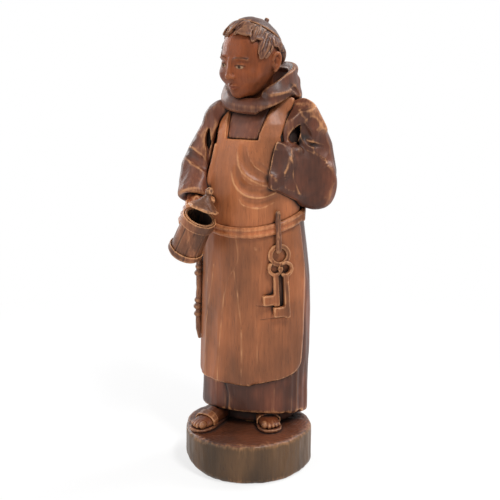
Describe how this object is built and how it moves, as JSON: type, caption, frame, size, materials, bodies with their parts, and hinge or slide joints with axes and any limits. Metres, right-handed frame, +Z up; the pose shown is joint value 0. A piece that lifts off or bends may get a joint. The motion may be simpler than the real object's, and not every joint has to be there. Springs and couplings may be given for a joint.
{
  "type": "carved wooden monk figure",
  "caption": "Hand-carved wooden monk in habit, hood and apron, holding a lidded tankard, with keys at the belt, standing on a slice of log. The tankard's lid swings.",
  "frame": {"origin": "middle of the underside of the log slice", "axes": "+Z up through the head, -Y the way the monk's body faces, +X towards the figure's left hand"},
  "size_m": [0.1389, 0.1197, 0.3993],
  "materials": {
    "robe_wood": "dark brown stain, waxed, worn pale on the ridges",
    "apron_wood": "golden brown stain, waxed",
    "skin_wood": "warm brown stain, waxed",
    "hair_wood": "brown stain with pale ridges",
    "plinth_wood": "rough sawn log, stained",
    "tankard_wood": "grey brown stain, worn",
    "dowel_wood": "bare turned dowel",
    "steel": "bright wire"
  },
  "bodies": {
    "figure": {"robe": "robe_wood", "left_sleeve": "robe_wood", "right_sleeve": "robe_wood", "cowl": "robe_wood", "right_sole": "robe_wood", "left_sole": "robe_wood", "key_strap": "robe_wood", "apron_skirt": "apron_wood", "apron_bib": "apron_wood", "waistband": "apron_wood", "key_ring": "apron_wood", "front_key": "apron_wood", "back_key": "apron_wood", "right_strap": "apron_wood", "left_strap": "apron_wood", "head": "skin_wood", "right_hand": "skin_wood", "right_foot": "skin_wood", "left_foot": "skin_wood", "hair": "hair_wood", "skullcap": "hair_wood", "cap_stem": "hair_wood", "plinth": "plinth_wood", "tankard_body": "tankard_wood", "upper_hoop": "tankard_wood", "lower_hoop": "tankard_wood", "tankard_handle": "tankard_wood", "girdle_end": "tankard_wood", "neck_dowel": "dowel_wood", "left_arm_dowel": "dowel_wood", "right_arm_dowel": "dowel_wood", "base_dowel_front": "dowel_wood", "base_dowel_back": "dowel_wood", "lid_pin": "steel"},
    "lid": {"tankard_lid": "tankard_wood"}
  },
  "joints": [
    {"name": "lid_hinge", "type": "hinge", "parent": "figure", "child": "lid", "pos_m": [-0.03502, -0.01978, 0.24296], "axis": [-0.8735, -0.3452, 0.3433], "range_deg": [-22, 65]}
  ]
}
